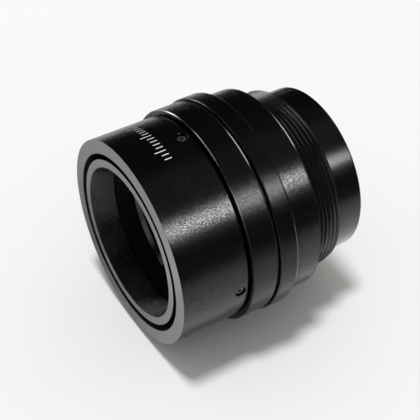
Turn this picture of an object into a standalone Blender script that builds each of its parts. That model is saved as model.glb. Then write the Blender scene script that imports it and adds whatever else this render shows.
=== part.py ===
"""Barlow lens: a stepped black barrel with a lens cell, a front sleeve, a lock ring and a rear collar.

The optical axis is level and runs along +Y, from the front face to the rear face. The barrel lies on
its widest ring, on the plane Z = 0, and X = 0 and Y = 0 are the middle of its width and length.
Every turned piece is drawn as (station, radius) points in millimetres, where the station is the
distance behind the front face.
"""

import math

import bpy
from mathutils import Matrix, Vector

MM = 0.001
SEGMENTS = 48
SMOOTH_ANGLE = math.radians(30.0)
MERGE_DISTANCE = 0.000002
GAP = 0.3

# Stations along the optical axis, in millimetres behind the front face.
CELL_FRONT = 0.1
BORE_GROOVE = 5.65
RETAINER_FRONT = 9.7
RETAINER_REAR = 11.5
SLEEVE_FLOOR = 9.0
SCREW_STATION = 12.7
SLEEVE_REAR = 14.35
LOCK_FRONT = 14.8
LOCK_REAR = 20.7
INDEX_FRONT = 21.1
INDEX_REAR = 25.05
FLANGE_FRONT = 25.35
CELL_REAR = 30.2
FLANGE_REAR = 31.45
THREAD_FRONT = 32.3
THREAD_PITCH = 1.0
THREAD_TURNS = 6
NECK_BEVEL = 0.3
COLLAR_FRONT = 38.65
COLLAR_REAR = 44.4

# Radii, in millimetres.
SLEEVE_R = 21.65
SLEEVE_RECESS_R = 18.8
CELL_R = 17.55
CELL_BORE_R = 15.875
CELL_SEAT_R = 14.4
LOCK_R = 22.7
INDEX_R = 23.15
SPIGOT_R = 20.0
FLANGE_R = 21.8
THREAD_CREST_R = 19.5
THREAD_ROOT_R = 18.89
SHOULDER_R = 19.7
COLLAR_R = 17.95
COLLAR_SPIGOT_R = 16.2
COLLAR_BORE_R = 14.2
COLLAR_RECESS_R = 15.2
LENS_R = 15.6
EDGE = 0.3

# Lens stack, in millimetres: each entry is a front edge station, a rear edge station, and how far
# the front and rear surfaces stand ahead of (+) or sink behind (-) their own edges at the axis.
FRONT_ELEMENT = (11.8, 15.3, -0.85, -0.95)
REAR_ELEMENT = (16.4, 19.9, 0.9, -0.35)
SPACER_FRONT = 15.6
SPACER_REAR = 16.1
SHIM_FRONT = 20.2
SHIM_REAR = 20.6
SEAT_STATION = 20.9
SPACER_BORE_R = 14.5
LENS_FACE_R = 14.9
ARC_POINTS = 4

# Grub screws in the front sleeve.
SCREW_ANGLES_DEG = (-5.0, 88.5, 175.0, 268.5)
SCREW_HOLE_R = 1.2
SCREW_R = 0.92
SCREW_OUTER_R = 21.25
SCREW_INNER_R = 18.75
TIP_OUTER_R = 18.45
TIP_INNER_R = 17.83
TIP_R = 0.75
SOCKET_R = 0.5
SOCKET_DEPTH = 1.1
SCREW_SIDES = 16

# Small pieces inside the cell and the collar.
BAFFLE_FRONT = 40.5
BAFFLE_REAR = 41.1
BAFFLE_BORE_R = 11.5
SNAP_FRONT = 41.45
SNAP_REAR = 42.15
SNAP_OUTER_R = 15.65
SNAP_INNER_R = 14.6
SNAP_GROOVE_R = 15.95
SNAP_SLOT_WIDTH = 7.0
CELL_BAFFLE_FRONT = 28.6
CELL_BAFFLE_BORE_R = 12.2
SPANNER_SLOT_WIDTH = 1.3
SPANNER_SLOT_DEPTH = 0.8

LENGTH = COLLAR_REAR
FRONT_Y = -0.5 * LENGTH * MM
AXIS_Z = INDEX_R * math.cos(math.pi / SEGMENTS) * MM
AXIS_FRAME = Matrix.Translation((0.0, FRONT_Y, AXIS_Z)) @ Matrix.Rotation(-math.pi / 2, 4, "X")


def clear_scene():
    """Empty the scene and give the parts and the cutters a collection each."""
    for item in list(bpy.data.objects):
        bpy.data.objects.remove(item, do_unlink=True)
    parts = bpy.data.collections.new("barlow_lens")
    cutters = bpy.data.collections.new("cutters")
    bpy.context.scene.collection.children.link(parts)
    bpy.context.scene.collection.children.link(cutters)
    return parts, cutters


def make_material(name, color, roughness, metallic, alpha=1.0):
    """One Principled material with a plain finish."""
    material = bpy.data.materials.new(name)
    material.use_nodes = True
    shader = material.node_tree.nodes["Principled BSDF"]
    shader.inputs["Base Color"].default_value = (*color, 1.0)
    shader.inputs["Roughness"].default_value = roughness
    shader.inputs["Metallic"].default_value = metallic
    shader.inputs["Alpha"].default_value = alpha
    return material


def turned(name, outer, inner=None):
    """A body of revolution about the optical axis, left as a profile with a Screw modifier.

    Both outlines run from front to rear. A ring has an inner outline; a lens has none, and its
    outer outline starts and ends on the axis.
    """
    outline = list(reversed(outer)) + list(inner or [])
    start = math.pi / SEGMENTS
    points = []
    for station, radius in outline:
        points.append((radius * MM * math.cos(start), radius * MM * math.sin(start), station * MM))
    edges = [(i, i + 1) for i in range(len(points) - 1)]
    if inner:
        edges.append((len(points) - 1, 0))
    mesh = bpy.data.meshes.new(name)
    mesh.from_pydata(points, edges, [])
    piece = bpy.data.objects.new(name, mesh)
    PARTS.objects.link(piece)
    piece.matrix_world = AXIS_FRAME
    spin = piece.modifiers.new("Turn", "SCREW")
    spin.axis = "Z"
    spin.angle = 2.0 * math.pi
    spin.steps = SEGMENTS
    spin.render_steps = SEGMENTS
    spin.use_merge_vertices = True
    spin.merge_threshold = MERGE_DISTANCE
    return piece


def chamfered(front, rear, radius, edge=EDGE):
    """The outer outline of a plain ring with both edges broken."""
    return [(front, radius - edge), (front + edge, radius), (rear - edge, radius), (rear, radius - edge)]


def as_guide(cutter):
    """Keep a cutter out of the build."""
    cutter.hide_render = True
    cutter.display_type = "WIRE"
    for home in list(cutter.users_collection):
        home.objects.unlink(cutter)
    CUTTERS.objects.link(cutter)


def cut(piece, cutter):
    """Take the cutter's shape out of the piece."""
    as_guide(cutter)
    boolean = piece.modifiers.new("Cut", "BOOLEAN")
    boolean.operation = "DIFFERENCE"
    boolean.solver = "EXACT"
    boolean.object = cutter


def radial_frame(angle_deg, radius, station):
    """A frame on a radius of the barrel, with its own +Z pointing straight out."""
    angle = math.radians(angle_deg)
    outward = Vector((math.cos(angle), 0.0, math.sin(angle)))
    centre = Vector((0.0, FRONT_Y + station * MM, AXIS_Z)) + outward * radius * MM
    turn = Vector((0.0, 0.0, 1.0)).rotation_difference(outward).to_matrix().to_4x4()
    return Matrix.Translation(centre) @ turn


def radial_cylinder(name, angle_deg, inner_r, outer_r, radius, sides):
    """A round bar standing on the barrel's radius, between two distances from the axis."""
    bpy.ops.mesh.primitive_cylinder_add(vertices=sides, radius=radius * MM, depth=(outer_r - inner_r) * MM)
    bar = bpy.context.active_object
    bar.name = name
    bar.matrix_world = radial_frame(angle_deg, 0.5 * (outer_r + inner_r), SCREW_STATION)
    for home in list(bar.users_collection):
        home.objects.unlink(bar)
    PARTS.objects.link(bar)
    return bar


def box_cutter(name, size, station, radius=0.0):
    """A box whose sides follow the barrel: across (X), along the axis (Y) and up (Z), in millimetres."""
    bpy.ops.mesh.primitive_cube_add(size=1.0)
    box = bpy.context.active_object
    box.name = name
    scale = Matrix.Diagonal((size[0] * MM, size[1] * MM, size[2] * MM, 1.0))
    box.data.transform(scale)
    box.location = (0.0, FRONT_Y + station * MM, AXIS_Z + radius * MM)
    return box


def surface(station, rise, toward_front):
    """Points of a lens face, from the axis outwards, as an arc of a circle."""
    chord = LENS_FACE_R
    radius = (chord * chord + rise * rise) / (2.0 * abs(rise))
    side = -1.0 if toward_front else 1.0
    points = []
    for i in range(ARC_POINTS + 1):
        r = chord * i / ARC_POINTS
        sag = radius - math.sqrt(radius * radius - r * r)
        height = abs(rise) - sag
        points.append((station + side * math.copysign(height, rise), r))
    return points


def lens(name, element):
    """A round glass element with a flat rim at each face."""
    front, rear, front_rise, rear_rise = element
    front_face = surface(front, front_rise, True)
    rear_face = surface(rear, rear_rise, False)
    rim = [(front, LENS_R - 0.2), (front + 0.2, LENS_R), (rear - 0.2, LENS_R), (rear, LENS_R - 0.2)]
    return turned(name, front_face + rim + list(reversed(rear_face)))


def front_sleeve():
    """Outer sleeve with a deep front recess round the cell, and four screw holes near its rear."""
    outer = chamfered(0.0, SLEEVE_REAR, SLEEVE_R)
    bore = CELL_R + GAP
    inner = [(0.0, SLEEVE_RECESS_R), (SLEEVE_FLOOR, SLEEVE_RECESS_R)]
    inner += [(SLEEVE_FLOOR, bore), (SLEEVE_REAR, bore)]
    sleeve = turned("front_sleeve", outer, inner)
    for k, angle in enumerate(SCREW_ANGLES_DEG):
        hole = radial_cylinder(f"screw_hole_{k + 1}", angle, 15.0, 25.0, SCREW_HOLE_R, SCREW_SIDES)
        cut(sleeve, hole)
    return sleeve


def grub_screw(index):
    """Headless screw with a hexagon socket in its outer end."""
    name = f"sleeve_grub_screw_{index + 1}"
    angle = SCREW_ANGLES_DEG[index]
    screw = radial_cylinder(name, angle, SCREW_INNER_R, SCREW_OUTER_R, SCREW_R, SCREW_SIDES)
    floor = SCREW_OUTER_R - SOCKET_DEPTH
    socket = radial_cylinder(f"socket_{index + 1}", angle, floor, SCREW_OUTER_R + 1.0, SOCKET_R, 6)
    cut(screw, socket)
    return screw


def screw_tip(index):
    """Brass swivel tip between a grub screw and the lens cell."""
    name = f"grub_screw_tip_{index + 1}"
    return radial_cylinder(name, SCREW_ANGLES_DEG[index], TIP_INNER_R, TIP_OUTER_R, TIP_R, SCREW_SIDES)


def lens_cell():
    """Tube that carries the glass: a front bore, a threaded bore, the lens seat and a rear bore."""
    outer = chamfered(CELL_FRONT, CELL_REAR, CELL_R, 0.2)
    thread_r = CELL_BORE_R + 0.1
    inner = [
        (CELL_FRONT, CELL_BORE_R + 0.15),
        (CELL_FRONT + 0.15, CELL_BORE_R),
        (BORE_GROOVE, CELL_BORE_R),
        (BORE_GROOVE, CELL_BORE_R + 0.4),
        (BORE_GROOVE + 0.5, CELL_BORE_R + 0.4),
        (BORE_GROOVE + 0.5, thread_r),
        (SEAT_STATION, thread_r),
        (SEAT_STATION, CELL_SEAT_R),
        (CELL_REAR, CELL_SEAT_R),
    ]
    return turned("lens_cell", outer, inner)


def ring(name, front, rear, outer_r, inner_r, edge=0.0):
    """A plain turned ring, with its outer edges broken if an edge is given."""
    outer = chamfered(front, rear, outer_r, edge) if edge else [(front, outer_r), (rear, outer_r)]
    return turned(name, outer, [(front, inner_r), (rear, inner_r)])


def retaining_ring():
    """Threaded ring in front of the glass, with two spanner slots."""
    piece = ring("front_retaining_ring", RETAINER_FRONT, RETAINER_REAR, 15.65, CELL_SEAT_R)
    depth = SPANNER_SLOT_DEPTH * 2.0
    slot = box_cutter("spanner_slot", (40.0, depth, SPANNER_SLOT_WIDTH), RETAINER_FRONT)
    cut(piece, slot)
    return piece


def snap_ring():
    """Open spring ring that holds the rear baffle in the collar."""
    piece = ring("baffle_snap_ring", SNAP_FRONT, SNAP_REAR, SNAP_OUTER_R, SNAP_INNER_R)
    middle = 0.5 * (SNAP_FRONT + SNAP_REAR)
    gap = box_cutter("snap_ring_gap", (SNAP_SLOT_WIDTH, 4.0, 8.0), middle, SNAP_INNER_R)
    cut(piece, gap)
    return piece


def main_barrel():
    """Flange, male thread behind it, spigot in front of it, and the two bores."""
    outer = [(INDEX_FRONT + 0.2, SPIGOT_R - GAP), (FLANGE_FRONT, SPIGOT_R - GAP)]
    outer += chamfered(FLANGE_FRONT, FLANGE_REAR, FLANGE_R)
    neck = FLANGE_REAR + NECK_BEVEL
    outer += [(FLANGE_REAR, SHOULDER_R), (neck, THREAD_ROOT_R), (THREAD_FRONT, THREAD_ROOT_R)]
    for turn in range(THREAD_TURNS):
        start = THREAD_FRONT + turn * THREAD_PITCH
        outer.append((start + 0.4 * THREAD_PITCH, THREAD_CREST_R))
        outer.append((start + 0.6 * THREAD_PITCH, THREAD_CREST_R))
        outer.append((start + THREAD_PITCH, THREAD_ROOT_R))
    cell_bore = CELL_R + GAP
    collar_bore = COLLAR_SPIGOT_R + GAP
    thread_rear = THREAD_FRONT + THREAD_TURNS * THREAD_PITCH
    inner = [
        (INDEX_FRONT + 0.2, cell_bore),
        (CELL_REAR + 0.5, cell_bore),
        (CELL_REAR + 0.5, collar_bore),
        (thread_rear, collar_bore),
    ]
    return turned("main_barrel", outer, inner)


def rear_collar():
    """Smooth rear tube with a rounded rear edge; its front end screws into the barrel."""
    spigot_front = CELL_REAR + 0.8
    outer = [
        (spigot_front, COLLAR_SPIGOT_R - EDGE),
        (spigot_front + EDGE, COLLAR_SPIGOT_R),
        (COLLAR_FRONT, COLLAR_SPIGOT_R),
        (COLLAR_FRONT, COLLAR_R - 0.15),
        (COLLAR_FRONT + 0.15, COLLAR_R),
        (COLLAR_REAR - 0.6, COLLAR_R),
        (COLLAR_REAR - 0.18, COLLAR_R - 0.18),
        (COLLAR_REAR, COLLAR_R - 0.6),
    ]
    seat = BAFFLE_FRONT - GAP
    inner = [
        (spigot_front, COLLAR_BORE_R),
        (seat, COLLAR_BORE_R),
        (seat, COLLAR_RECESS_R),
        (SNAP_FRONT - GAP, COLLAR_RECESS_R),
        (SNAP_FRONT - GAP, SNAP_GROOVE_R),
        (SNAP_REAR + GAP, SNAP_GROOVE_R),
        (SNAP_REAR + GAP, COLLAR_RECESS_R),
        (COLLAR_REAR, COLLAR_RECESS_R),
    ]
    return turned("rear_collar", outer, inner)


def freeze(piece):
    """Turn the modifiers into a mesh, and shade it smooth with sharp edges kept."""
    graph = bpy.context.evaluated_depsgraph_get()
    mesh = bpy.data.meshes.new_from_object(piece.evaluated_get(graph), depsgraph=graph)
    mesh.name = piece.name
    piece.modifiers.clear()
    piece.data = mesh
    mesh.shade_smooth()
    mesh.set_sharp_from_angle(angle=SMOOTH_ANGLE)


def build():
    """Make every piece and give it its finish."""
    satin = make_material("black_satin_anodising", (0.022, 0.023, 0.024), 0.42, 0.0)
    smooth = make_material("black_smooth_anodising", (0.018, 0.018, 0.019), 0.3, 0.0)
    matt = make_material("matt_black_baffle", (0.01, 0.01, 0.01), 0.85, 0.0)
    glass = make_material("coated_glass", (0.75, 0.85, 0.8), 0.03, 0.0, 0.35)
    brass = make_material("brass", (0.66, 0.48, 0.2), 0.35, 1.0)
    steel = make_material("blackened_steel", (0.06, 0.06, 0.065), 0.35, 0.9)
    finishes = {}

    finishes[front_sleeve()] = satin
    finishes[lens_cell()] = satin
    finishes[retaining_ring()] = matt
    finishes[lens("front_element", FRONT_ELEMENT)] = glass
    finishes[ring("element_spacer", SPACER_FRONT, SPACER_REAR, LENS_R, SPACER_BORE_R)] = matt
    finishes[lens("rear_element", REAR_ELEMENT)] = glass
    finishes[ring("seat_shim", SHIM_FRONT, SHIM_REAR, LENS_R, SPACER_BORE_R)] = brass
    baffle_rear = CELL_REAR - 0.4
    baffle_outer = CELL_SEAT_R - GAP
    finishes[ring("cell_baffle", CELL_BAFFLE_FRONT, baffle_rear, baffle_outer, CELL_BAFFLE_BORE_R)] = matt
    finishes[ring("lock_ring", LOCK_FRONT, LOCK_REAR, LOCK_R, CELL_R + GAP, EDGE)] = satin
    finishes[ring("index_ring", INDEX_FRONT, INDEX_REAR, INDEX_R, SPIGOT_R, EDGE)] = satin
    finishes[main_barrel()] = satin
    finishes[rear_collar()] = smooth
    finishes[ring("rear_baffle", BAFFLE_FRONT, BAFFLE_REAR, COLLAR_RECESS_R - GAP, BAFFLE_BORE_R)] = matt
    finishes[snap_ring()] = steel
    for k in range(len(SCREW_ANGLES_DEG)):
        finishes[grub_screw(k)] = steel
        finishes[screw_tip(k)] = brass

    bpy.context.view_layer.update()
    for piece, material in finishes.items():
        freeze(piece)
        piece.data.materials.clear()
        piece.data.materials.append(material)


PARTS, CUTTERS = clear_scene()
build()
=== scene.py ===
"""Looks for a barlow lens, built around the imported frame.

Every turned piece is drawn as an outline of (station, radius, rounding) points in millimetres. The
station is the distance behind the front face, along +Y, and the radius is measured from the optical
axis. Angles go round the axis from +X towards +Z. Lengths are in millimetres, except bump heights and
everything on the stage, which are in metres.
"""

import math
from collections import namedtuple

import bmesh
import bpy
from mathutils import Matrix, Vector


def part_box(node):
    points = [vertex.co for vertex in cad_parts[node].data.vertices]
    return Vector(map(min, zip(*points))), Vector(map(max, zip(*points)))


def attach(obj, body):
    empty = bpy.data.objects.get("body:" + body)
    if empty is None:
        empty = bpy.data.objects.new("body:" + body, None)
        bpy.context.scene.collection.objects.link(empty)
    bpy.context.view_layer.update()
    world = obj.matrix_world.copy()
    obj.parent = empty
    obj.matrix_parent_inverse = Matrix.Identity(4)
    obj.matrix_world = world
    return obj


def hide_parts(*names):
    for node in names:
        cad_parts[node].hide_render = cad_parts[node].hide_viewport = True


MM = 0.001
SIDES = 240
SMALL_SIDES = 48
SUPPORT = 0.25
ROUND_STEPS = 5
SHARP_ANGLE = math.radians(32.0)
GAP = 0.3
BAR_EDGE = 0.1

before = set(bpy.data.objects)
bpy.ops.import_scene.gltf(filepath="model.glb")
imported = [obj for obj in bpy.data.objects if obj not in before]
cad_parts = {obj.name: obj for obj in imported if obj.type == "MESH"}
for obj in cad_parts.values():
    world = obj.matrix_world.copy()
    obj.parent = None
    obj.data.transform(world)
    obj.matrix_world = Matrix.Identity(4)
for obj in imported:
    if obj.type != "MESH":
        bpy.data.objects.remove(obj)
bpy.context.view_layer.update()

Span = namedtuple("Span", "front rear outer inner")
FRONT_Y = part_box("front_sleeve")[0].y
INDEX_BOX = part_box("index_ring")
AXIS_Z = 0.5 * (INDEX_BOX[0].z + INDEX_BOX[1].z)


def span(node):
    """Front and rear stations, outer radius and inner radius of a turned CAD node, in millimetres."""
    low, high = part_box(node)
    radii = []
    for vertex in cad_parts[node].data.vertices:
        radii.append(math.hypot(vertex.co.x, vertex.co.z - AXIS_Z) / MM)
    return Span((low.y - FRONT_Y) / MM, (high.y - FRONT_Y) / MM, max(radii), min(radii))


def outward_at(angle):
    """The direction away from the optical axis at an angle round it."""
    return Vector((math.cos(angle), 0.0, math.sin(angle)))


def place(station, radius, angle):
    """A point in the row frame from its station and radius in millimetres and its angle in radians."""
    across = radius * MM * math.cos(angle)
    height = AXIS_Z + radius * MM * math.sin(angle)
    return Vector((across, FRONT_Y + station * MM, height))


# ---------------------------------------------------------------- materials

NUMBER_SPREAD = 0.25
COLOR_SPREAD = 0.2
GRAIN_SCALE = 5000.0
SPARKLE_SCALE = 4000.0
SPARKLE_LOW = 0.40
SPARKLE_SPREAD = 0.12
SEAL_IOR = 1.36
TURNING_SCALE = 1400.0
TURNING_HEIGHT = 0.0000012
EDGE_IOR = 3.4
EDGE_TINT_START = 4.0
EDGE_TINT_FULL = 20.0
EDGE_TINT_LOW = 0.05
BORE_IOR = 1.7
BORE_RING_SCALE = 2000.0
BORE_RING_HEIGHT = 0.000040


def new_material(name):
    """A material, its shader, and an empty node tree around them."""
    material = bpy.data.materials.new(name)
    material.use_nodes = True
    tree = material.node_tree
    return material, tree, tree.nodes["Principled BSDF"]


def bare_material(name):
    """A material with nothing but its output node."""
    material = bpy.data.materials.new(name)
    material.use_nodes = True
    tree = material.node_tree
    tree.nodes.clear()
    return material, tree, tree.nodes.new("ShaderNodeOutputMaterial")


def object_position(tree):
    """The position in object space, which is the row frame for every turned piece."""
    return tree.nodes.new("ShaderNodeTexCoord").outputs["Object"]


def grey(value):
    """A neutral colour."""
    return (value, value, value)


def noise(tree, scale, detail, roughness):
    """A noise texture in object space."""
    pattern = tree.nodes.new("ShaderNodeTexNoise")
    pattern.inputs["Scale"].default_value = scale
    pattern.inputs["Detail"].default_value = detail
    pattern.inputs["Roughness"].default_value = roughness
    tree.links.new(object_position(tree), pattern.inputs["Vector"])
    return pattern.outputs["Fac"]


def remap(tree, source, low, high):
    """Turn a pattern's middle range into numbers from low to high."""
    node = tree.nodes.new("ShaderNodeMapRange")
    node.inputs["From Min"].default_value = 0.5 - NUMBER_SPREAD
    node.inputs["From Max"].default_value = 0.5 + NUMBER_SPREAD
    node.inputs["To Min"].default_value = low
    node.inputs["To Max"].default_value = high
    tree.links.new(source, node.inputs["Value"])
    return node.outputs["Result"]


def blend_color(tree, source, low, high, spread=COLOR_SPREAD):
    """Turn a pattern's middle range into a colour from low to high."""
    ramp = tree.nodes.new("ShaderNodeValToRGB")
    ramp.color_ramp.elements[0].position = 0.5 - spread
    ramp.color_ramp.elements[1].position = 0.5 + spread
    ramp.color_ramp.elements[0].color = (*low, 1.0)
    ramp.color_ramp.elements[1].color = (*high, 1.0)
    tree.links.new(source, ramp.inputs["Fac"])
    return ramp.outputs["Color"]


def bump(tree, shader, source, height):
    """Raise the surface by the pattern, by up to a height in metres."""
    node = tree.nodes.new("ShaderNodeBump")
    node.inputs["Distance"].default_value = height
    tree.links.new(source, node.inputs["Height"])
    tree.links.new(node.outputs["Normal"], shader.inputs["Normal"])


def turning_lines(tree, scale, distortion):
    """Fine lines round the barrel, as a lathe tool leaves them."""
    lines = tree.nodes.new("ShaderNodeTexWave")
    lines.wave_type = "BANDS"
    lines.bands_direction = "Y"
    lines.inputs["Scale"].default_value = scale
    lines.inputs["Distortion"].default_value = distortion
    lines.inputs["Detail"].default_value = 2.0
    tree.links.new(object_position(tree), lines.inputs["Vector"])
    return lines.outputs["Fac"]


def anodising(name, low, high, ior):
    """Black anodised aluminium: a deep, slightly uneven colour under a clear hard layer."""
    material, tree, shader = new_material(name)
    patches = noise(tree, 260.0, 3.0, 0.6)
    tint = blend_color(tree, patches, low, high)
    tree.links.new(tint, shader.inputs["Base Color"])
    shader.inputs["IOR"].default_value = ior
    return material, tree, shader, patches


def blasted(name, roughness, height, ior):
    """Bead-blasted and anodised: a fine grain that sparkles in the highlights."""
    low = (0.0016, 0.0019, 0.0019)
    high = (0.0026, 0.0029, 0.0028)
    material, tree, shader, _ = anodising(name, low, high, ior)
    grain = noise(tree, GRAIN_SCALE, 1.0, 0.6)
    spread = remap(tree, grain, roughness - 0.03, roughness + 0.05)
    tree.links.new(spread, shader.inputs["Roughness"])
    bump(tree, shader, grain, height)
    sparkle = noise(tree, SPARKLE_SCALE, 0.0, 0.5)
    glint = blend_color(tree, sparkle, grey(SPARKLE_LOW), grey(1.0), SPARKLE_SPREAD)
    tree.links.new(glint, shader.inputs["Specular Tint"])
    return material


def smooth_anodising(name, low, high):
    """Fine turned, anodised and sealed: no grain, only the faint lines of the lathe."""
    material, tree, shader, patches = anodising(name, low, high, SEAL_IOR)
    tree.links.new(remap(tree, patches, 0.19, 0.24), shader.inputs["Roughness"])
    lines = turning_lines(tree, TURNING_SCALE, 0.6)
    bump(tree, shader, lines, TURNING_HEIGHT)
    shader.inputs["Coat Weight"].default_value = 1.0
    shader.inputs["Coat Roughness"].default_value = 0.2
    shader.inputs["Coat IOR"].default_value = SEAL_IOR
    return material


def edge_black():
    """Broken edges whose gloss carries a painted highlight: tinted brighter towards the top of the
    barrel at rest, to match the photo.
    """
    material, tree, shader, patches = anodising("edge_painted_highlight", grey(0.004), grey(0.010), EDGE_IOR)
    tree.links.new(remap(tree, patches, 0.16, 0.20), shader.inputs["Roughness"])
    # Painted highlight: the gloss tint grows from low to full with height above the axis, so the upper
    # edges look lit.
    split = tree.nodes.new("ShaderNodeSeparateXYZ")
    tree.links.new(object_position(tree), split.inputs["Vector"])
    height = tree.nodes.new("ShaderNodeMapRange")
    height.inputs["From Min"].default_value = AXIS_Z + EDGE_TINT_START * MM
    height.inputs["From Max"].default_value = AXIS_Z + EDGE_TINT_FULL * MM
    tree.links.new(split.outputs["Z"], height.inputs["Value"])
    tint = blend_color(tree, height.outputs["Result"], grey(EDGE_TINT_LOW), grey(1.0))
    tree.links.new(tint, shader.inputs["Specular Tint"])
    return material


def turned_face():
    """The flat front faces: bare and greyer than the rest, with a fine even grain."""
    material, tree, shader = new_material("turned_face")
    grain = noise(tree, 3600.0, 3.0, 0.6)
    tint = blend_color(tree, grain, (0.235, 0.237, 0.235), (0.270, 0.272, 0.269))
    tree.links.new(tint, shader.inputs["Base Color"])
    tree.links.new(remap(tree, grain, 0.36, 0.44), shader.inputs["Roughness"])
    bump(tree, shader, grain, 0.000004)
    shader.inputs["Metallic"].default_value = 1.0
    return material


def grooved_bore():
    """Front bore wall: anodised over fine rings, which catch the light that comes in at the front."""
    material, tree, shader, patches = anodising("bore_black", grey(0.003), grey(0.005), BORE_IOR)
    tree.links.new(remap(tree, patches, 0.25, 0.30), shader.inputs["Roughness"])
    lines = turning_lines(tree, BORE_RING_SCALE, 0.0)
    bump(tree, shader, lines, BORE_RING_HEIGHT)
    return material


def baffle_black(name, low, high, roughness):
    """Matt black paint of the inner walls, slightly uneven."""
    material, tree, shader = new_material(name)
    patches = noise(tree, 900.0, 4.0, 0.6)
    tint = blend_color(tree, patches, grey(low), grey(high))
    tree.links.new(tint, shader.inputs["Base Color"])
    rough = remap(tree, patches, roughness, roughness + 0.1)
    tree.links.new(rough, shader.inputs["Roughness"])
    bump(tree, shader, patches, 0.000006)
    shader.inputs["IOR"].default_value = 1.4
    return material


def metal(name, low, high, roughness, scale, metallic=1.0):
    """Plain metal with fine machining marks."""
    material, tree, shader = new_material(name)
    marks = noise(tree, scale, 3.0, 0.6)
    tree.links.new(blend_color(tree, marks, low, high), shader.inputs["Base Color"])
    rough = remap(tree, marks, roughness, roughness + 0.14)
    tree.links.new(rough, shader.inputs["Roughness"])
    bump(tree, shader, marks, 0.000003)
    shader.inputs["Metallic"].default_value = metallic
    return material


def coated_glass():
    """Polished glass with a coating whose tint drifts a little over the surface."""
    material, tree, shader = new_material("coated_glass")
    drift = noise(tree, 60.0, 1.0, 0.5)
    tint = blend_color(tree, drift, (0.90, 0.96, 0.93), (0.96, 0.99, 0.97))
    tree.links.new(tint, shader.inputs["Base Color"])
    tree.links.new(remap(tree, drift, 0.01, 0.03), shader.inputs["Roughness"])
    shader.inputs["Transmission Weight"].default_value = 1.0
    shader.inputs["IOR"].default_value = 1.52
    return material


def marking_white():
    """White filling of the engraved scale, a little uneven."""
    material, tree, shader = new_material("marking_white")
    patches = noise(tree, 2600.0, 2.0, 0.6)
    tint = blend_color(tree, patches, (0.72, 0.73, 0.72), (0.86, 0.87, 0.86))
    tree.links.new(tint, shader.inputs["Base Color"])
    tree.links.new(remap(tree, patches, 0.5, 0.65), shader.inputs["Roughness"])
    return material


SATIN = blasted("satin_anodising", 0.20, 0.000016, 1.66)
BAND_SATIN = blasted("band_anodising", 0.22, 0.000021, 1.52)
EDGE_BLACK = edge_black()
SMOOTH_TINTS = ((0.0018, 0.0019, 0.0018), (0.0028, 0.0029, 0.0027))
THREAD_TINTS = ((0.0055, 0.0057, 0.0055), (0.0085, 0.0088, 0.0086))
STEEL_TINTS = ((0.03, 0.032, 0.032), (0.30, 0.315, 0.31))
SMOOTH = smooth_anodising("smooth_anodising", *SMOOTH_TINTS)
THREAD_BLACK = smooth_anodising("thread_anodising", *THREAD_TINTS)
FACE = turned_face()
BORE = grooved_bore()
MATT = baffle_black("matt_black", 0.003, 0.005, 0.7)
BRASS = metal("brass", (0.60, 0.42, 0.17), (0.72, 0.53, 0.24), 0.28, 2400.0)
SCREW_STEEL = metal("black_oxide_steel", *STEEL_TINTS, 0.24, 3600.0, 0.75)
SPRING = metal("spring_steel", (0.10, 0.10, 0.11), (0.17, 0.17, 0.18), 0.3, 3000.0)
GLASS = coated_glass()
WHITE = marking_white()


# ---------------------------------------------------------------- turned shapes


def rounded(outline):
    """Points of a closed outline, with its corners rounded and support points beside each one.

    An outline entry is (station, radius, rounding, paint); the paint is that of the edge after it.
    """
    points = []
    paints = []
    count = len(outline)
    for i, (station, radius, rounding, paint) in enumerate(outline):
        here = Vector((station, radius))
        before = outline[i - 1]
        after = outline[(i + 1) % count]
        if rounding == 0.0:
            points.append(here)
            paints.append(paint)
            continue
        back = (Vector(before[:2]) - here).normalized()
        ahead = (Vector(after[:2]) - here).normalized()
        start = here + back * rounding
        end = here + ahead * rounding
        points.append(start + back * rounding * SUPPORT)
        paints.append(before[3])
        for k in range(ROUND_STEPS + 1):
            t = k / ROUND_STEPS
            points.append(start * (1 - t) ** 2 + here * 2 * t * (1 - t) + end * t * t)
            paints.append(paint if 2 * k >= ROUND_STEPS else before[3])
        points.append(end + ahead * rounding * SUPPORT)
        paints.append(paint)
    return points, paints


def add_object(name, data):
    """An object in the scene's own collection."""
    item = bpy.data.objects.new(name, data)
    bpy.context.scene.collection.objects.link(item)
    return item


def mesh_from(name, work):
    """Turn a bmesh into a mesh."""
    mesh = bpy.data.meshes.new(name)
    work.to_mesh(mesh)
    work.free()
    return mesh


def smooth(mesh):
    """Smooth faces with sharp corners."""
    mesh.shade_smooth()
    mesh.set_sharp_from_angle(angle=SHARP_ANGLE)


def finish_mesh(name, work, materials):
    """Make an object from a bmesh, with outward normals, smooth faces and sharp corners."""
    bmesh.ops.recalc_face_normals(work, faces=work.faces)
    mesh = mesh_from(name, work)
    for material in materials:
        mesh.materials.append(material)
    smooth(mesh)
    return add_object(name, mesh)


def ring_at(work, station, radius, sides):
    """A ring of vertices round the optical axis."""
    return [work.verts.new(place(station, radius, math.tau * j / sides)) for j in range(sides)]


def bridge(work, here, there):
    """The faces between two rings that have the same number of vertices."""
    count = len(here)
    faces = []
    for j in range(count):
        k = (j + 1) % count
        faces.append(work.faces.new((here[j], here[k], there[k], there[j])))
    return faces


def skin(work, rings):
    """A closed skin over successive rings, with a face at each end."""
    for here, there in zip(rings, rings[1:]):
        bridge(work, here, there)
    work.faces.new(rings[0])
    work.faces.new(rings[-1])


def turned(name, outline, materials):
    """A turned ring: the outline taken all the way round the optical axis."""
    points, paints = rounded(outline)
    work = bmesh.new()
    rings = [ring_at(work, point.x, point.y, SIDES) for point in points]
    for i, paint in enumerate(paints):
        for face in bridge(work, rings[i], rings[(i + 1) % len(rings)]):
            face.material_index = paint
    return finish_mesh(name, work, materials)


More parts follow.
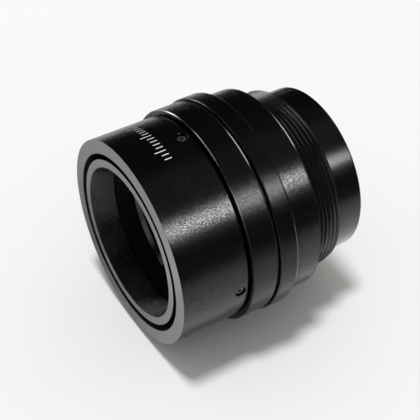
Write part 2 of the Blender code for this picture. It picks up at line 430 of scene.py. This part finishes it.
def cut(piece, cutters):
    """Take other solids out of a piece, then remove them."""
    for cutter in cutters:
        boolean = piece.modifiers.new("Cut", "BOOLEAN")
        boolean.operation = "DIFFERENCE"
        boolean.solver = "EXACT"
        boolean.object = cutter
    bpy.context.view_layer.update()
    graph = bpy.context.evaluated_depsgraph_get()
    mesh = bpy.data.meshes.new_from_object(piece.evaluated_get(graph), depsgraph=graph)
    piece.modifiers.clear()
    piece.data = mesh
    smooth(mesh)
    for cutter in cutters:
        bpy.data.objects.remove(cutter)


def radial_matrix(angle, radius, station):
    """A frame on a radius of the barrel: its own Z points outwards and its own Y points to the rear."""
    outward = outward_at(angle)
    rear = Vector((0.0, 1.0, 0.0))
    side = rear.cross(outward)
    turn = Matrix((side, rear, outward)).transposed().to_4x4()
    return Matrix.Translation(place(station, radius, angle)) @ turn


def upright_turned(name, outline, sides, matrix, materials):
    """A small solid turned about its own Z axis; the outline is (height, radius) in millimetres."""
    work = bmesh.new()
    rings = []
    for height, radius in outline:
        ring = []
        for j in range(sides):
            a = math.tau * (j + 0.5) / sides
            spot = Vector((radius * MM * math.cos(a), radius * MM * math.sin(a), height * MM))
            ring.append(work.verts.new(matrix @ spot))
        rings.append(ring)
    skin(work, rings)
    return finish_mesh(name, work, materials)


def bar(name, matrix, size, materials):
    """A solid block in a radial frame: its size across, along the axis and outwards, in millimetres."""
    work = bmesh.new()
    scale = Matrix.Diagonal((size[0] * MM, size[1] * MM, size[2] * MM, 1.0))
    bmesh.ops.create_cube(work, size=1.0, matrix=matrix @ scale)
    bmesh.ops.bevel(
        work,
        geom=list(work.edges),
        offset=BAR_EDGE * min(size) * MM,
        segments=2,
        profile=0.5,
        affect="EDGES",
    )
    return finish_mesh(name, work, materials)


def mount_piece(piece, body, slot, *nodes):
    """Fix a piece to its CAD body and hide the CAD nodes that it stands for; the slot is not used."""
    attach(piece, body)
    if nodes:
        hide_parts(*nodes)
    return piece


# ---------------------------------------------------------------- front group

SLEEVE = span("front_sleeve")
CELL = span("lens_cell")
RETAINER = span("front_retaining_ring")
RECESS_R = 18.8
RECESS_FLOOR = 9.0
BORE_GROOVE = 5.65
GROOVE_WIDTH = 0.5
GROOVE_DEPTH = 0.4
BORE_R = 15.875
THREADED_BORE_R = 15.975
SEAT_STATION = 20.9
RETAINER_BEVEL = 0.9
SCREW_COUNT = 4
SCREW_EDGE = 0.16
SCREW_HOLE_R = 1.15
HOLE_BOTTOM = 16.0
HOLE_LIP = 0.3
HEX_SIDES = 6
SOCKET = ((1.1, 0.46), (0.12, 0.5), (-0.2, 0.72))
SLOT_ANGLE = math.radians(78.0)
SLOT_WIDTH = 1.6
SLOT_DEPTH = 0.65
SLOT_LENGTH = 40.0

SCALE_FRONT = 5.9
SCALE_MINOR = 1.5
SCALE_MAJOR = 2.4
SCALE_COUNT = 13
SCALE_START = math.radians(78.5)
SCALE_STEP = math.radians(2.9)
SCALE_WIDTH = 0.24
SCALE_DEPTH = 0.14
SCALE_CUTTER = 0.6
SCALE_FILLING = 0.1


def screw_place(index):
    """Middle of a grub screw, its station and its direction round the barrel."""
    low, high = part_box(f"sleeve_grub_screw_{index + 1}")
    middle = 0.5 * (low + high)
    return middle, (middle.y - FRONT_Y) / MM, math.atan2(middle.z - AXIS_Z, middle.x)


def scale_marks(extra):
    """Place and size of each line of the scale: a block on the groove's floor, extra high."""
    marks = []
    for k in range(SCALE_COUNT):
        length = SCALE_MAJOR if k % 5 == 2 else SCALE_MINOR
        station = SCALE_FRONT + SCALE_MAJOR - 0.5 * length
        radius = SLEEVE.outer - SCALE_DEPTH + 0.5 * extra
        matrix = radial_matrix(SCALE_START + k * SCALE_STEP, radius, station)
        marks.append((matrix, (SCALE_WIDTH, length, extra)))
    return marks


def join(name, pieces):
    """Join several objects into the first of them."""
    work = bmesh.new()
    materials = list(pieces[0].data.materials)
    for piece in pieces:
        work.from_mesh(piece.data)
        bpy.data.objects.remove(piece)
    return finish_mesh(name, work, materials)


def scale_lines(name, extra, material):
    """The lines of the scale as one piece, to cut them out or to fill them."""
    lines = []
    for k, (matrix, size) in enumerate(scale_marks(extra)):
        lines.append(bar(f"line_{k}", matrix, size, [material]))
    return join(name, lines)


def make_sleeve():
    """Outer sleeve: grey front face, deep black recess, four screw holes and an engraved scale."""
    outline = [
        (SLEEVE.front, RECESS_R, 0.06, 1),
        (SLEEVE.front, SLEEVE.outer, 0.07, 0),
        (SLEEVE.rear, SLEEVE.outer, 0.14, 0),
        (SLEEVE.rear, SLEEVE.inner, 0.05, 2),
        (RECESS_FLOOR, SLEEVE.inner, 0.05, 2),
        (RECESS_FLOOR, RECESS_R, 0.1, 2),
    ]
    sleeve = turned("sleeve", outline, [SATIN, FACE, MATT])
    cutters = []
    for k in range(SCREW_COUNT):
        _, station, angle = screw_place(k)
        matrix = radial_matrix(angle, 0.0, station)
        shape = [
            (HOLE_BOTTOM, SCREW_HOLE_R),
            (SLEEVE.outer - 0.1, SCREW_HOLE_R),
            (SLEEVE.outer + 0.2, SCREW_HOLE_R + HOLE_LIP),
        ]
        cutters.append(upright_turned(f"hole_{k}", shape, SMALL_SIDES, matrix, [SATIN]))
    cutters.append(scale_lines("mark_cutter", SCALE_CUTTER, SATIN))
    cut(sleeve, cutters)
    mount_piece(sleeve, "front_group", "satin_black", "front_sleeve")
    filling = scale_lines("scale_filling", SCALE_FILLING, WHITE)
    mount_piece(filling, "front_group", "satin_black")


def make_cell():
    """Lens cell: grey front face, front bore, groove, then the bore down to the lens seat."""
    groove_rear = BORE_GROOVE + GROOVE_WIDTH
    outline = [
        (CELL.front, CELL.outer, 0.06, 0),
        (CELL.rear, CELL.outer, 0.1, 3),
        (CELL.rear, CELL.inner, 0.08, 3),
        (SEAT_STATION, CELL.inner, 0.05, 3),
        (SEAT_STATION, THREADED_BORE_R, 0.0, 3),
        (groove_rear, THREADED_BORE_R, 0.04, 3),
        (groove_rear, THREADED_BORE_R + GROOVE_DEPTH, 0.0, 3),
        (BORE_GROOVE, THREADED_BORE_R + GROOVE_DEPTH, 0.0, 2),
        (BORE_GROOVE, BORE_R, 0.05, 2),
        (CELL.front, BORE_R, 0.12, 1),
    ]
    cell = turned("cell", outline, [SATIN, FACE, BORE, MATT])
    mount_piece(cell, "front_group", "satin_black", "lens_cell")


def make_retainer():
    """Retaining ring in front of the glass; one bar cuts both of its spanner slots."""
    outline = [
        (RETAINER.front, RETAINER.inner + RETAINER_BEVEL, 0.05, 0),
        (RETAINER.front, RETAINER.outer, 0.08, 0),
        (RETAINER.rear, RETAINER.outer, 0.08, 0),
        (RETAINER.rear, RETAINER.inner, 0.05, 1),
        (RETAINER.front + RETAINER_BEVEL, RETAINER.inner, 0.15, 1),
    ]
    ring = turned("retainer", outline, [MATT, SMOOTH])
    matrix = radial_matrix(SLOT_ANGLE, 0.0, RETAINER.front)
    slot_size = (SLOT_WIDTH, 2.0 * SLOT_DEPTH, SLOT_LENGTH)
    cut(ring, [bar("slot", matrix, slot_size, [MATT])])
    mount_piece(ring, "front_group", "matt_black", "front_retaining_ring")


def make_light_stop(name, body, node, edge, slope, roundings):
    """Light stop with a knife edge: the edge's thickness, the slope behind it and the roundings."""
    size = span(node)
    front_inner, outer, rear_inner = roundings
    outline = [
        (size.front, size.inner, front_inner, 0),
        (size.front, size.outer, outer, 0),
        (size.rear, size.outer, outer, 0),
        (size.rear, size.inner + slope, rear_inner, 0),
        (size.front + edge, size.inner, 0.03, 0),
    ]
    mount_piece(turned(name, outline, [MATT]), body, "matt_black", node)


def make_screw(index):
    """Grub screw with a broken edge and a hexagon socket."""
    node = f"sleeve_grub_screw_{index + 1}"
    low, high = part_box(node)
    middle, _, angle = screw_place(index)
    outward = outward_at(angle)
    reach = []
    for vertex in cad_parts[node].data.vertices:
        reach.append((vertex.co - middle).dot(outward) / MM)
    half = max(reach)
    radius = 0.5 * (high.y - low.y) / MM
    tip = radius - SCREW_EDGE
    matrix = radial_matrix(angle, 0.0, 0.0)
    matrix.translation = middle
    shape = [(-half, tip), (SCREW_EDGE - half, radius), (half - SCREW_EDGE, radius), (half, tip)]
    screw = upright_turned(f"grub_screw_{index + 1}", shape, SMALL_SIDES, matrix, [SCREW_STEEL])
    socket = [(half - depth, across) for depth, across in SOCKET]
    cut(screw, [upright_turned("socket", socket, HEX_SIDES, matrix, [SCREW_STEEL])])
    mount_piece(screw, f"screw_{index + 1}", "screw_steel", node)


# ---------------------------------------------------------------- glass

ARC_STEPS = 24
LENS_FACE_R = 14.9
LENS_EDGE = 0.2
LENS_SIDES = SIDES // 2
FRONT_RISES = (-0.85, -0.95)
REAR_RISES = (0.9, -0.35)


def lens_face(station, rise, side):
    """Outline points of a lens face from the axis outwards; a negative rise is a hollow."""
    radius = (LENS_FACE_R**2 + rise**2) / (2.0 * abs(rise))
    points = []
    for i in range(1, ARC_STEPS + 1):
        r = LENS_FACE_R * i / ARC_STEPS
        height = abs(rise) - radius + math.sqrt(radius**2 - r**2)
        points.append((station + side * math.copysign(height, rise), r))
    return points, station + side * rise


def make_lens(name, node, rises):
    """A polished glass element with bevelled edges."""
    size = span(node)
    front = size.front + max(rises[0], 0.0)
    rear = size.rear - max(rises[1], 0.0)
    front_face, front_pole = lens_face(front, rises[0], -1.0)
    rear_face, rear_pole = lens_face(rear, rises[1], 1.0)
    rim = [(front, size.outer - LENS_EDGE), (front + LENS_EDGE, size.outer)]
    rim += [(rear - LENS_EDGE, size.outer), (rear, size.outer - LENS_EDGE)]
    work = bmesh.new()
    rings = []
    for station, radius in front_face + rim + rear_face[::-1]:
        rings.append(ring_at(work, station, radius, LENS_SIDES))
    for here, there in zip(rings, rings[1:]):
        bridge(work, here, there)
    for pole, ring in ((front_pole, rings[0]), (rear_pole, rings[-1])):
        tip = work.verts.new(place(pole, 0.0, 0.0))
        for j in range(LENS_SIDES):
            work.faces.new((tip, ring[j], ring[(j + 1) % LENS_SIDES]))
    glass = finish_mesh(name, work, [GLASS])
    mount_piece(glass, "glass", "coated_glass", node)


# ---------------------------------------------------------------- barrel

LOCK = span("lock_ring")
INDEX = span("index_ring")
BARREL = span("main_barrel")
FLANGE_FRONT = 25.35
FLANGE_REAR = 31.45
FLANGE_R = 21.8
FLANGE_EDGE = 0.12
SPIGOT_R = 19.7
THREAD_ROOT_R = 18.89
THREAD_CREST_R = 19.5
THREAD_PITCH = 1.0
THREAD_START = 32.708
THREAD_TURNS = 5.2
THREAD_STEPS = 160
THREAD_SINK = 0.02
THREAD_FADE_SINK = 0.08
CELL_BORE_R = 17.85
COLLAR_BORE_R = 16.5
STEP_STATION = 30.7
EDGE_LENGTH = 0.34
EDGE_FALL = 0.080
EDGE_INSET = 0.22
FRONT_EDGE = 0.18
RING_REACH = 0.13
INDEX_FRONT_EDGE = 0.2
INDEX_REAR_LENGTH = 0.34
INDEX_REAR_FALL = 0.22


def make_lock_ring():
    """First ring behind the sleeve; a shallow bevel, lit by the back card and brightened towards the
    top by a painted highlight, and a matt chamfer end it at the rear.
    """
    rear = LOCK.rear + RING_REACH
    outline = [
        (LOCK.front, LOCK.inner, 0.05, 0),
        # The front chamfer and the rear bevel take the edge material, with its painted highlight
        # towards the top.
        (LOCK.front, LOCK.outer - FRONT_EDGE, 0.03, 1),
        (LOCK.front + FRONT_EDGE, LOCK.outer, 0.03, 0),
        (rear - EDGE_INSET - EDGE_LENGTH, LOCK.outer, 0.02, 1),
        (rear - EDGE_INSET, LOCK.outer - EDGE_FALL, 0.03, 2),
        (rear, LOCK.outer - EDGE_FALL - EDGE_INSET, 0.04, 0),
        (rear, LOCK.inner, 0.05, 0),
    ]
    band = turned("lock_band", outline, [BAND_SATIN, EDGE_BLACK, MATT])
    mount_piece(band, "lock", "satin_black", "lock_ring")


def make_index_ring():
    """Widest ring, which the barrel lies on."""
    outer = 0.5 * (INDEX_BOX[1].x - INDEX_BOX[0].x) / MM
    front = INDEX.front - RING_REACH
    outline = [
        (front, INDEX.inner, 0.05, 0),
        (front, outer - INDEX_FRONT_EDGE, 0.03, 0),
        (front + INDEX_FRONT_EDGE, outer, 0.04, 0),
        (INDEX.rear - INDEX_REAR_LENGTH, outer, 0.04, 0),
        (INDEX.rear, outer - INDEX_REAR_FALL, 0.04, 0),
        (INDEX.rear, INDEX.inner, 0.05, 0),
    ]
    band = turned("index_band", outline, [BAND_SATIN])
    mount_piece(band, "barrel", "satin_black", "index_ring")


def make_barrel():
    """Flange with the threaded tube behind it and the spigot in front of it."""
    outline = [
        (BARREL.front, CELL_BORE_R, 0.05, 1),
        (BARREL.front, SPIGOT_R, 0.1, 1),
        (FLANGE_FRONT, SPIGOT_R, 0.05, 0),
        (FLANGE_FRONT, FLANGE_R - FLANGE_EDGE, 0.04, 0),
        (FLANGE_FRONT + FLANGE_EDGE, FLANGE_R, 0.05, 0),
        # The flange's rear bevel takes the edge material, with its painted highlight towards the top.
        (FLANGE_REAR - EDGE_LENGTH, FLANGE_R, 0.03, 3),
        (FLANGE_REAR, FLANGE_R - EDGE_FALL, 0.03, 2),
        (FLANGE_REAR, THREAD_ROOT_R, 0.12, 1),
        (BARREL.rear, THREAD_ROOT_R, 0.12, 1),
        (BARREL.rear, COLLAR_BORE_R, 0.05, 1),
        (STEP_STATION, COLLAR_BORE_R, 0.05, 1),
        (STEP_STATION, CELL_BORE_R, 0.05, 1),
    ]
    barrel = turned("barrel_tube", outline, [SATIN, MATT, SMOOTH, EDGE_BLACK])
    mount_piece(barrel, "barrel", "satin_black", "main_barrel")


def make_thread():
    """Right-hand male thread: one ridge wound round the tube, fading out at both ends."""
    height = THREAD_CREST_R - THREAD_ROOT_R
    section = [(-0.5, -0.1), (-0.5, 0.0), (-0.05, height - 0.02), (-0.03, height)]
    section += [(0.07, height - 0.018), (0.5, 0.0), (0.5, -0.1)]
    steps = int(THREAD_STEPS * THREAD_TURNS)
    fade = THREAD_STEPS // 5
    work = bmesh.new()
    rows = []
    for i in range(steps + 1):
        turn = i / THREAD_STEPS
        grown = min(1.0, i / fade, (steps - i) / fade)
        grown = grown * grown * (3.0 - 2.0 * grown)
        row = []
        for offset, rise in section:
            sink = THREAD_SINK + THREAD_FADE_SINK * (1.0 - grown)
            radius = THREAD_ROOT_R - sink + rise * grown
            station = THREAD_START + (turn + offset * (0.3 + 0.7 * grown)) * THREAD_PITCH
            row.append(work.verts.new(place(station, radius, -math.tau * turn)))
        rows.append(row)
    skin(work, rows)
    mount_piece(finish_mesh("male_thread", work, [THREAD_BLACK]), "barrel", "satin_black")


# ---------------------------------------------------------------- rear group

COLLAR = span("rear_collar")
REAR_STOP = span("rear_baffle")
SNAP = span("baffle_snap_ring")
COLLAR_FRONT = 38.65
COLLAR_SPIGOT_R = 16.2
COLLAR_RECESS_R = 15.2
SNAP_GROOVE_R = 15.95
COLLAR_EDGE = 0.25
SNAP_GAP = 3.5
SNAP_GAP_R = 15.1
SNAP_GAP_ANGLE = 2.0 * math.asin(SNAP_GAP / SNAP_GAP_R)
SNAP_STEPS = 160
SNAP_SIDES = 20
SNAP_SQUARENESS = 0.45


def make_collar():
    """Smooth rear tube with a rounded rear edge, a recess for the light stop and a snap groove."""
    seat = REAR_STOP.front - GAP
    outline = [
        (COLLAR.front, COLLAR.inner, 0.05, 1),
        (COLLAR.front, COLLAR_SPIGOT_R, 0.2, 1),
        (COLLAR_FRONT, COLLAR_SPIGOT_R, 0.05, 0),
        (COLLAR_FRONT, COLLAR.outer, 0.1, 0),
        (COLLAR.rear, COLLAR.outer, 0.32, 0),
        (COLLAR.rear, COLLAR_RECESS_R + COLLAR_EDGE, 0.05, 0),
        (COLLAR.rear - COLLAR_EDGE, COLLAR_RECESS_R, 0.05, 0),
        (SNAP.rear + GAP, COLLAR_RECESS_R, 0.04, 1),
        (SNAP.rear + GAP, SNAP_GROOVE_R, 0.0, 1),
        (SNAP.front - GAP, SNAP_GROOVE_R, 0.0, 1),
        (SNAP.front - GAP, COLLAR_RECESS_R, 0.04, 1),
        (seat, COLLAR_RECESS_R, 0.0, 1),
        (seat, COLLAR.inner, 0.04, 1),
    ]
    collar = turned("collar", outline, [SMOOTH, MATT])
    mount_piece(collar, "rear_group", "smooth_black", "rear_collar")


def squared_off(value):
    """Push a sine or cosine towards 1 or -1, so that a circle becomes a round-cornered square."""
    return math.copysign(abs(value) ** SNAP_SQUARENESS, value)


def make_snap_ring():
    """Open ring of round-edged spring wire, with its gap at the top."""
    middle = 0.5 * (SNAP.front + SNAP.rear)
    centre = 0.5 * (SNAP.outer + SNAP.inner)
    across = 0.5 * (SNAP.rear - SNAP.front)
    deep = 0.5 * (SNAP.outer - SNAP.inner)
    start = 0.5 * math.pi + 0.5 * SNAP_GAP_ANGLE
    sweep = math.tau - SNAP_GAP_ANGLE
    work = bmesh.new()
    rows = []
    for i in range(SNAP_STEPS + 1):
        angle = start + sweep * i / SNAP_STEPS
        row = []
        for j in range(SNAP_SIDES):
            a = math.tau * j / SNAP_SIDES
            station = middle + across * squared_off(math.cos(a))
            radius = centre + deep * squared_off(math.sin(a))
            row.append(work.verts.new(place(station, radius, angle)))
        rows.append(row)
    skin(work, rows)
    ring = finish_mesh("snap_ring", work, [SPRING])
    mount_piece(ring, "rear_group", "spring_steel", "baffle_snap_ring")


# ---------------------------------------------------------------- stage

KEY_FROM = (0.012, -0.102, 1.0)
KEY_SIZE = math.radians(10.0)
KEY_POWER = 2.10
FILL = 0.52
SKY = 0.004
BACKDROP = 0.88
SKY_COLOR = (1.0, 0.998, 0.968, 1.0)
FLOOR_COLOR = (0.81, 0.81, 0.806, 1.0)
FLOOR_SIZE = 3.0
CAMERA_AT = (0.13183, -0.08622, 0.16254)
CAMERA_TOWARD = (-0.62919, 0.39797, -0.66764)
FOCAL_LENGTH = 87.38
SHADE_HALF = 1.5

CARDS = [
    ("softbox", (0.702, 0.398, 0.591), 0.30, 0.20, 14.0),
    ("overhead", (0.16, 0.40, 0.90), 0.6, 0.5, 0.12),
    ("front_card", (-0.38, -0.78, 0.48), 0.50, 0.12, 1.6),
    ("low_front_card", (0.26, -0.94, 0.18), 0.40, 0.34, 1.1),
    ("left_card", (-0.94, -0.30, 0.15), 0.30, 0.25, 4.0),
    ("back_card", (-0.15, 0.755, 0.635), 0.56, 0.12, 2.1),
]
CARD_DISTANCE = 1.0


def floor():
    """Plain pale floor."""
    work = bmesh.new()
    bmesh.ops.create_grid(work, x_segments=24, y_segments=24, size=FLOOR_SIZE)
    mesh = mesh_from("floor", work)
    material, _, shader = new_material("floor_paper")
    shader.inputs["Base Color"].default_value = FLOOR_COLOR
    shader.inputs["Roughness"].default_value = 1.0
    shader.inputs["Specular IOR Level"].default_value = 0.0
    mesh.materials.append(material)
    ground = add_object("floor", mesh)


def world_light():
    """Pale to the camera, a soft fill for matt surfaces and a dark room for reflections."""
    world = bpy.data.worlds.new("studio")
    bpy.context.scene.world = world
    world.use_nodes = True
    tree = world.node_tree
    background = tree.nodes["Background"]
    path = tree.nodes.new("ShaderNodeLightPath")
    glossy = tree.nodes.new("ShaderNodeMix")
    glossy.data_type = "FLOAT"
    glossy.inputs["A"].default_value = FILL
    glossy.inputs["B"].default_value = SKY
    seen = tree.nodes.new("ShaderNodeMix")
    seen.data_type = "FLOAT"
    seen.inputs["B"].default_value = BACKDROP
    tree.links.new(path.outputs["Is Glossy Ray"], glossy.inputs["Factor"])
    tree.links.new(glossy.outputs["Result"], seen.inputs["A"])
    tree.links.new(path.outputs["Is Camera Ray"], seen.inputs["Factor"])
    tree.links.new(seen.outputs["Result"], background.inputs["Strength"])
    background.inputs["Color"].default_value = SKY_COLOR


def key_light():
    """Broad overhead light, seen by matt surfaces only."""
    lamp = bpy.data.lights.new("key", "SUN")
    lamp.energy = KEY_POWER
    lamp.angle = KEY_SIZE
    key = add_object("key", lamp)
    key.rotation_euler = Vector(KEY_FROM).to_track_quat("Z", "Y").to_euler()
    key.visible_glossy = False


def lit_panel(name, matrix, glow):
    """An evenly lit unit square, stretched and put in place by the matrix."""
    work = bmesh.new()
    bmesh.ops.create_grid(work, x_segments=1, y_segments=1, size=0.5)
    work.transform(matrix)
    mesh = mesh_from(name, work)
    material, tree, out = bare_material(name)
    lit = tree.nodes.new("ShaderNodeEmission")
    lit.inputs["Strength"].default_value = glow
    tree.links.new(lit.outputs["Emission"], out.inputs["Surface"])
    mesh.materials.append(material)
    reflected_only(name, mesh)


def card(name, toward, width, height, glow):
    """A lit studio card that faces the barrel, in the given direction from it."""
    direction = Vector(toward).normalized()
    middle = Vector((0.0, 0.0, AXIS_Z)) + direction * CARD_DISTANCE
    turn = direction.to_track_quat("Z", "Y").to_matrix().to_4x4()
    stretch = Matrix.Diagonal((width, height, 1.0, 1.0))
    lit_panel(name, Matrix.Translation(middle) @ turn @ stretch, glow)


def bounce(centre, size, glow):
    """A lit patch on the floor in front of the bore."""
    lit_panel("bounce", Matrix.Translation(centre) @ Matrix.Diagonal((*size, 1.0, 1.0)), glow)


def reflected_only(name, mesh):
    """Put a panel or a sheet on the stage so that nothing but reflections sees it."""
    panel = add_object(name, mesh)
    panel.visible_camera = False
    panel.visible_diffuse = False
    panel.visible_shadow = False
    panel.visible_transmission = False
    return panel


def shade_material(name, steps):
    """Dark where any of the given steps is full, clear elsewhere.

    A step is (how the position is measured, where it starts, where it is full, how dark it gets).
    """
    material, tree, out = bare_material(name)
    dark = tree.nodes.new("ShaderNodeEmission")
    dark.inputs["Strength"].default_value = 0.0
    clear = tree.nodes.new("ShaderNodeBsdfTransparent")
    mixed = tree.nodes.new("ShaderNodeMixShader")
    where = object_position(tree)
    split = tree.nodes.new("ShaderNodeSeparateXYZ")
    length = tree.nodes.new("ShaderNodeVectorMath")
    length.operation = "LENGTH"
    tree.links.new(where, split.inputs["Vector"])
    tree.links.new(where, length.inputs[0])
    measures = {"x": split.outputs["X"], "y": split.outputs["Y"], "distance": length.outputs["Value"]}
    total = None
    for measure, start, full, depth in steps:
        ramp = tree.nodes.new("ShaderNodeMapRange")
        ramp.inputs["From Min"].default_value = start
        ramp.inputs["From Max"].default_value = full
        ramp.inputs["To Max"].default_value = depth
        tree.links.new(measures[measure], ramp.inputs["Value"])
        shade = ramp.outputs["Result"]
        if total is not None:
            larger = tree.nodes.new("ShaderNodeMath")
            larger.operation = "MAXIMUM"
            tree.links.new(total, larger.inputs[0])
            tree.links.new(shade, larger.inputs[1])
            shade = larger.outputs["Value"]
        total = shade
    tree.links.new(total, mixed.inputs["Fac"])
    tree.links.new(clear.outputs["BSDF"], mixed.inputs[1])
    tree.links.new(dark.outputs["Emission"], mixed.inputs[2])
    tree.links.new(mixed.outputs["Shader"], out.inputs["Surface"])
    return material


def floor_shade(name, centre, half, steps, stretch=(1.0, 1.0, 1.0)):
    """A sheet just over the floor that makes its reflection fade; nothing else sees it."""
    work = bmesh.new()
    bmesh.ops.create_grid(work, x_segments=1, y_segments=1, size=half)
    mesh = mesh_from(name, work)
    mesh.materials.append(shade_material(name, steps))
    sheet = reflected_only(name, mesh)
    sheet.location = centre
    sheet.scale = stretch


def camera():
    """Three-quarter view from the front right and above."""
    lens = bpy.data.cameras.new("camera")
    lens.sensor_width = 36.0
    lens.lens = FOCAL_LENGTH
    lens.clip_start = 0.01
    lens.clip_end = 20.0
    view = add_object("camera", lens)
    view.location = CAMERA_AT
    view.rotation_euler = Vector(CAMERA_TOWARD).to_track_quat("-Z", "Y").to_euler()
    bpy.context.scene.camera = view


def dress_inner_nodes():
    """Give the CAD nodes that keep their own mesh a finish."""
    finishes = {"element_spacer": MATT, "seat_shim": BRASS}
    for k in range(SCREW_COUNT):
        finishes[f"grub_screw_tip_{k + 1}"] = BRASS
    for node, material in finishes.items():
        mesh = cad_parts[node].data
        mesh.materials.clear()
        mesh.materials.append(material)


make_sleeve()
make_cell()
make_retainer()
make_light_stop("cell_stop", "front_group", "cell_baffle", 0.25, 0.8, (0.05, 0.08, 0.1))
for number in range(SCREW_COUNT):
    make_screw(number)
make_lens("front_glass", "front_element", FRONT_RISES)
make_lens("rear_glass", "rear_element", REAR_RISES)
make_lock_ring()
make_index_ring()
make_barrel()
make_thread()
make_collar()
make_light_stop("rear_stop", "baffle", "rear_baffle", 0.2, 0.7, (0.03, 0.05, 0.08))
make_snap_ring()
dress_inner_nodes()

floor()
world_light()
key_light()
for name, toward, width, height, glow in CARDS:
    card(name, toward, width, height, glow)
far_steps = [("x", 0.025, 0.150, 1.0), ("y", 0.060, 0.115, 0.95)]
floor_shade("far_shade", (0.0, 0.0, 0.001), SHADE_HALF, far_steps)
bounce((-0.010, -0.032, 0.002), (0.018, 0.009), 1.35)
left_steps = [("x", -0.035, -0.070, 0.24)]
floor_shade("left_shade", (0.0, 0.0, 0.0013), SHADE_HALF, left_steps)
near_steps = [("distance", 0.030, 0.008, 0.72)]
floor_shade("near_shade", (-0.030, -0.024, 0.0015), 0.03, near_steps, (1.5, 0.62, 1.0))
camera()
bpy.context.scene.view_settings.view_transform = "Standard"
